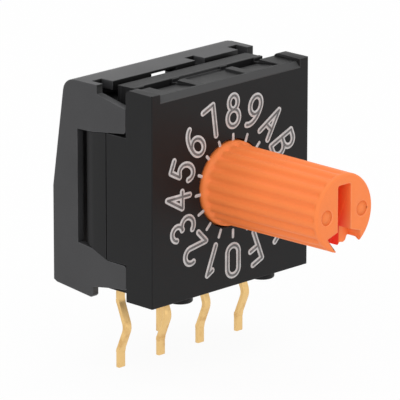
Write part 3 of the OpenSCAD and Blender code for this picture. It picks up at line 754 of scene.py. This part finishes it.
class SWITCH_OT_shaft(bpy.types.Operator):
    """Builds the shaft with its soft flutes, slot and arrow head and gives it its orange finish"""
    bl_idname = "switch.shaft"
    bl_label = "Shaft"

    def execute(self, context):
        sizes = context.scene.switch_rotor
        finish = moulded_material(
            "orange_moulding", sizes.color, ORANGE_RUB_AND_HIGHLIGHT, 0.5, mottle=0.12, grain=12000.0,
            relief=0.002 * MM, specular=0.3, second=sizes.slot_painted_shade)
        made = self.fluted_bar(sizes)
        cut_away(made, self.cutters(sizes))
        self.soften_lips(made, sizes)
        self.add_rotor(made)
        made.data.set_sharp_from_angle(angle=SHADE_ANGLE)
        finish_copy(made, "shaft", ROTOR, finish)
        return {"FINISHED"}

    def stations(self, sizes):
        """Distance out of the dial, radius and flute depth of each ring, from the bore to the tip."""
        length = FACE_Y - TIP_Y
        sunk = 0.45 * MM
        fillet = 0.3 * MM
        start = 0.06 * MM
        fade = 0.25 * MM
        rim_at = length - sizes.rim_radius
        reach = [-sunk, 0.0] + [start + fillet * i / 8 for i in range(9)]
        reach += [length * i / 6 for i in range(1, 6)]
        reach += [rim_at - fade * (8 - i) / 8 for i in range(9)]
        rings = []
        for out in reach:
            run = sizes.root_radius + (sizes.tip_radius - sizes.root_radius) * max(0.0, out) / length
            radius = sizes.collar_radius + (run - sizes.collar_radius) * soft_step((out - start) / fillet)
            depth = soft_step((out - start - fillet / 3) / fade) * soft_step((rim_at - out) / fade)
            rings.append((out, radius, sizes.flute_depth * depth))
        for i in range(1, 7):
            turn = math.pi / 12 * i
            radius = sizes.tip_radius - sizes.rim_radius * (1 - math.cos(turn))
            rings.append((rim_at + sizes.rim_radius * math.sin(turn), radius, 0.0))
        return rings

    def fluted_bar(self, sizes):
        """The shaft in front of the bore, without its slot."""
        steps_per_flute = 12
        steps = sizes.flutes * steps_per_flute
        shell = bmesh.new()
        rings = []
        for out, radius, depth in self.stations(sizes):
            ring = []
            for i in range(steps):
                turn = 2 * math.pi * i / steps
                groove = (0.5 + 0.5 * math.cos(turn * sizes.flutes)) ** 1.5
                reach = radius - depth * groove
                ring.append(shell.verts.new((
                    AXIS.x + reach * math.cos(turn), FACE_Y - out, AXIS.z + reach * math.sin(turn))))
            rings.append(ring)
        for near, far in zip(rings, rings[1:]):
            for i in range(steps):
                j = (i + 1) % steps
                shell.faces.new((near[i], near[j], far[j], far[i]))
        shell.faces.new(rings[0])
        shell.faces.new(rings[-1])
        bmesh.ops.recalc_face_normals(shell, faces=shell.faces)
        return link_mesh("fluted_shaft", shell)

    def cutters(self, sizes):
        """Blocks for the slot, the arrow head and the two round moulding marks."""
        over = 0.2 * MM
        half = sizes.slot_width / 2
        beyond = sizes.collar_radius + over
        rise = 0.1 * MM
        corner = half / 4
        crown = [(half - corner + corner * math.cos(t), sizes.slot_reach - corner + corner * math.sin(t))
                 for t in (math.pi / 8 * i for i in range(5))]
        slot = [(half, -beyond)] + crown + [(-x, z) for x, z in reversed(crown)] + [(-half, -beyond)]
        barb = sizes.arrow_drop
        heel = half + rise / 2
        arrow = [(-half + rise, rise - barb), (-half, 2 * rise - barb), (-sizes.arrow_half, -barb),
                 (-heel, rise / 2 - sizes.tip_radius), (-heel, -beyond), (sizes.arrow_half, -beyond),
                 (sizes.arrow_half, -barb), (half, 2 * rise - barb), (half - rise, rise - barb)]
        mark_x = (half + sizes.root_radius) / 2
        mark_r = 0.34 * MM
        mark_depth = 0.04 * MM
        made = [("slot_cutter", slot, sizes.slot_depth), ("arrow_cutter", arrow, sizes.arrow_depth)]
        for side in (-1, 1):
            ring = [(side * mark_x + mark_r * math.cos(t), mark_r * math.sin(t))
                    for t in (math.pi / 16 * i for i in range(32))]
            made.append(("mark_cutter", ring, mark_depth))
        return [prism(name, [(AXIS.x + x, AXIS.z + z) for x, z in outline], TIP_Y - over, depth + over)
                for name, outline, depth in made]

    def soften_lips(self, made, sizes):
        """Rounds the lips of the slot and paints shade on its walls, darker the deeper they lie."""
        lip_length = 0.02 * MM
        hair = 0.01 * MM
        rim_band = 0.06 * MM
        deep_at = 0.35 * MM
        arrow_shade_share = 0.45
        shell = bmesh.new()
        shell.from_mesh(made.data)
        bmesh.ops.remove_doubles(shell, verts=shell.verts, dist=WELD)
        softened = shell.faces.layers.float.new("softened")
        painted_layer = shell.loops.layers.float.new("second_tone")
        lips = []
        for e in shell.edges:
            if e.is_manifold and e.is_convex and e.calc_face_angle(0.0) > LIP_ANGLE:
                if any(f.normal.y < -0.98 for f in e.link_faces) and e.calc_length() > lip_length:
                    lips.append(e)
        rounded = bmesh.ops.bevel(
            shell, geom=lips, offset=sizes.edge_radius, offset_type="OFFSET", segments=3, profile=0.5,
            affect="EDGES", clamp_overlap=False)
        for face in rounded["faces"]:
            face[softened] = 1.0
        # Painted shade: walls deep in the slot get the deeper red, fully in the slot and at a lesser share
        # in the arrow head, growing with depth.
        inner = sizes.tip_radius - 1.5 * sizes.flute_depth
        for face in shell.faces:
            face.smooth = True
            middle = face.calc_center_median()
            spread = math.hypot(middle.x - AXIS.x, middle.z - AXIS.z)
            in_slot = abs(middle.x - AXIS.x) < sizes.slot_width / 2 + hair
            share = 1.0 if in_slot else arrow_shade_share
            if TIP_Y + rim_band < middle.y < FACE_Y and spread < inner:
                for loop in face.loops:
                    loop[painted_layer] = share * soft_step((loop.vert.co.y - TIP_Y) / deep_at)
        shell.to_mesh(made.data)
        shell.free()

    def add_rotor(self, made):
        """Adds the rotor behind the dial wall, from the packed solid."""
        behind = 0.5 * MM
        shell = bmesh.new()
        shell.from_mesh(frame["nodes"]["shaft"].data)
        bmesh.ops.remove_doubles(shell, verts=shell.verts, dist=WELD)
        cut = bmesh.ops.bisect_plane(
            shell, geom=shell.verts[:] + shell.edges[:] + shell.faces[:],
            plane_co=(0, FACE_Y + behind, 0), plane_no=(0, -1, 0), clear_outer=True)
        rim = [e for e in cut["geom_cut"] if isinstance(e, bmesh.types.BMEdge)]
        bmesh.ops.edgenet_fill(shell, edges=rim)
        for face in shell.faces:
            face.smooth = True
        shell.from_mesh(made.data)
        shell.to_mesh(made.data)
        shell.free()


class SWITCH_OT_inner_pieces(bpy.types.Operator):
    """Finishes the pieces inside: seal ring, detent springs and code plate"""
    bl_idname = "switch.inner_pieces"
    bl_label = "Inner pieces"

    def execute(self, context):
        metal = context.scene.switch_metal
        dress_node("seal_ring", moulded_material(
            "silicone_seal", SEAL_COLOR, SEAL_RUB_AND_HIGHLIGHT, 0.55, relief=0.003 * MM))
        steel = metal_material("spring_strip", metal.steel_color, STEEL_STAIN, 0.3, 0.28)
        for node in SPRINGS:
            dress_node(node, steel)
        dress_node("code_plate", metal_material("code_plating", metal.gold_color, PLATE_STAIN, 0.25, 0.22))
        return {"FINISHED"}


class SWITCH_OT_terminals(bpy.types.Operator):
    """Softens the stamped edges of the terminals and plates them"""
    bl_idname = "switch.terminals"
    bl_label = "Terminals"

    def execute(self, context):
        sizes = context.scene.switch_metal
        plating = metal_material("terminal_plating", sizes.gold_color, TERMINAL_STAIN, 0.45, 0.3)
        for node in TERMINALS:
            made = softened_copy(node + "_strip", node, sizes.edge_radius, SHADE_ANGLE, 2)
            finish_copy(made, node, HOUSING, plating)
        return {"FINISHED"}


class SWITCH_OT_characters(bpy.types.Operator):
    """Prints the sixteen characters round the dial"""
    bl_idname = "switch.characters"
    bl_label = "Characters"

    def execute(self, context):
        sizes = context.scene.switch_print
        body = context.scene.switch_moulding.housing_color
        rim = ink_material("ink_rim", sizes.rim_color, body, 0.75, 0.5)
        core = ink_material("ink_core", sizes.core_color, body, 0.45, 0.55)
        half = sizes.stroke / 2
        rim_width = half * 0.62
        reach_x = sizes.width / 2 - half
        reach_y = sizes.height - sizes.stroke
        for index, letter in enumerate(letter_strokes()[:sizes.positions]):
            centre, up, right = dial_place(index, sizes)
            foot = centre + up * (sizes.inner_radius + half)
            strokes = [[foot + right * x * reach_x + up * y * reach_y for x, y in path] for path in letter]
            made = print_mesh(f"character_{index:X}", strokes, half, rim_width, sizes.relief, FACE_Y)
            made.data.materials.append(rim)
            made.data.materials.append(core)
            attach(made, HOUSING)
        return {"FINISHED"}


class SWITCH_OT_ticks(bpy.types.Operator):
    """Prints one tick at each position"""
    bl_idname = "switch.ticks"
    bl_label = "Ticks"

    def execute(self, context):
        sizes = context.scene.switch_print
        body = context.scene.switch_moulding.housing_color
        ink = ink_material("ink_tick", sizes.rim_color, body, 0.7, 0.5)
        half = sizes.tick_stroke / 2
        relief = sizes.relief * 0.6
        for index in range(sizes.positions):
            centre, up, _ = dial_place(index, sizes)
            stroke = [centre + up * (sizes.tick_inner + half), centre + up * (sizes.tick_outer - half)]
            made = print_mesh(f"tick_{index:X}", [stroke], half, half / 2, relief, FACE_Y)
            made.data.materials.append(ink)
            made.data.materials.append(ink)
            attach(made, HOUSING)
        return {"FINISHED"}


def softbox(name, place, target, size, power):
    """A square area lamp that faces the target."""
    lamp = bpy.data.lights.new(name, "AREA")
    lamp.shape = "RECTANGLE"
    lamp.size, lamp.size_y = size
    lamp.energy = power
    made = bpy.data.objects.new(name, lamp)
    made.location = place
    made.rotation_mode = "QUATERNION"
    made.rotation_quaternion = (Vector(target) - Vector(place)).to_track_quat("-Z", "Y")
    bpy.context.scene.collection.objects.link(made)


def white_for_camera(tree, output, shader, share):
    """Mixes plain white into a shader for camera, glossy and transmission rays."""
    rays = add(tree, "ShaderNodeLightPath").outputs
    seen = math_node(tree, "MAXIMUM", rays["Is Camera Ray"], rays["Is Glossy Ray"])
    seen = math_node(tree, "MAXIMUM", seen, rays["Is Transmission Ray"])
    white = add(tree, "ShaderNodeEmission" if output.type == "OUTPUT_MATERIAL" else "ShaderNodeBackground",
                {"Color": (1, 1, 1, 1), "Strength": 1.0})
    mixed = add(tree, "ShaderNodeMixShader", {"Fac": math_node(tree, "MULTIPLY", seen, share)})
    tree.links.new(shader, mixed.inputs[1])
    tree.links.new(white.outputs[0], mixed.inputs[2])
    tree.links.new(mixed.outputs[0], output.inputs["Surface"])


class SWITCH_OT_stage(bpy.types.Operator):
    """Sets up the pale floor, the soft light and the camera"""
    bl_idname = "switch.stage"
    bl_label = "Stage"

    def execute(self, context):
        scene = context.scene
        sizes = scene.switch_studio
        scene.view_settings.view_transform = "Standard"
        self.add_floor()
        self.add_world(scene, sizes)
        target = Vector(sizes.target)
        for name, power, place, size in SOFTBOXES:
            softbox(name, place, target, size, getattr(sizes, power))
        self.add_camera(scene, sizes, target)
        return {"FINISHED"}

    def add_floor(self):
        """A pale floor under the terminals that still takes the shadow."""
        shell = bmesh.new()
        bmesh.ops.create_grid(shell, x_segments=8, y_segments=8, size=FLOOR_HALF)
        floor = link_mesh("floor", shell)
        floor.location.z = FLOOR_Z - FLOOR_GAP
        material, tree, shader = start_material("pale_floor")
        shader.inputs["Base Color"].default_value = (0.9, 0.9, 0.9, 1)
        shader.inputs["Roughness"].default_value = 0.9
        white_for_camera(tree, tree.nodes["Material Output"], shader.outputs[0], FLOOR_WHITE)
        floor.data.materials.append(material)

    def add_world(self, scene, sizes):
        """Even light from all round, seen as plain white."""
        world = bpy.data.worlds.new("room")
        world.use_nodes = True
        tree = world.node_tree
        room = tree.nodes["Background"]
        room.inputs["Color"].default_value = (1, 1, 1, 1)
        room.inputs["Strength"].default_value = sizes.world_strength
        white_for_camera(tree, tree.nodes["World Output"], room.outputs[0], 1.0)
        scene.world = world

    def add_camera(self, scene, sizes, target):
        """The photo's camera, from its azimuth, elevation, roll and distance."""
        lens = bpy.data.cameras.new("camera")
        lens.sensor_width = SENSOR_WIDTH
        lens.lens = sizes.focal
        lens.clip_start = 0.01
        lens.clip_end = 20.0
        back = Vector((
            math.sin(sizes.azimuth) * math.cos(sizes.elevation),
            -math.cos(sizes.azimuth) * math.cos(sizes.elevation),
            math.sin(sizes.elevation)))
        camera = bpy.data.objects.new("camera", lens)
        camera.location = target + back * sizes.distance
        camera.rotation_mode = "QUATERNION"
        camera.rotation_quaternion = (-back).to_track_quat("-Z", "Y") @ Quaternion((0, 0, 1), sizes.roll)
        scene.collection.objects.link(camera)
        scene.camera = camera


PIECES = (
    SWITCH_OT_housing, SWITCH_OT_base, SWITCH_OT_bracket, SWITCH_OT_shaft, SWITCH_OT_inner_pieces,
    SWITCH_OT_terminals, SWITCH_OT_characters, SWITCH_OT_ticks, SWITCH_OT_stage,
)

GROUPS = (
    ("switch_moulding", SwitchMoulding), ("switch_rotor", SwitchRotor), ("switch_print", SwitchPrint),
    ("switch_metal", SwitchMetal), ("switch_studio", SwitchStudio),
)


class SWITCH_PT_panel(bpy.types.Panel):
    """Sizes, colours and steps of the switch"""
    bl_idname = "SWITCH_PT_panel"
    bl_label = "Rotary dip switch"
    bl_space_type = "VIEW_3D"
    bl_region_type = "UI"
    bl_category = "Switch"

    def draw(self, context):
        layout = self.layout
        for attribute, group in GROUPS:
            box = layout.box()
            box.label(text=group.__doc__)
            for name in group.__annotations__:
                box.prop(getattr(context.scene, attribute), name)
        for piece in PIECES:
            layout.operator(piece.bl_idname)


CLASSES = tuple(group for _, group in GROUPS) + PIECES + (SWITCH_PT_panel,)


def register():
    """Adds the properties, operators and panel."""
    for made in CLASSES:
        bpy.utils.register_class(made)
    for attribute, group in GROUPS:
        setattr(bpy.types.Scene, attribute, PointerProperty(type=group))


def unregister():
    """Takes away what register added."""
    for attribute, _ in GROUPS:
        delattr(bpy.types.Scene, attribute)
    for made in reversed(CLASSES):
        bpy.utils.unregister_class(made)


def main():
    """Dresses the packed part piece by piece."""
    register()
    bpy.ops.switch.housing()
    bpy.ops.switch.base()
    bpy.ops.switch.bracket()
    bpy.ops.switch.shaft()
    bpy.ops.switch.inner_pieces()
    bpy.ops.switch.terminals()
    bpy.ops.switch.characters()
    bpy.ops.switch.ticks()
    bpy.ops.switch.stage()


if __name__ == "__main__":
    main()
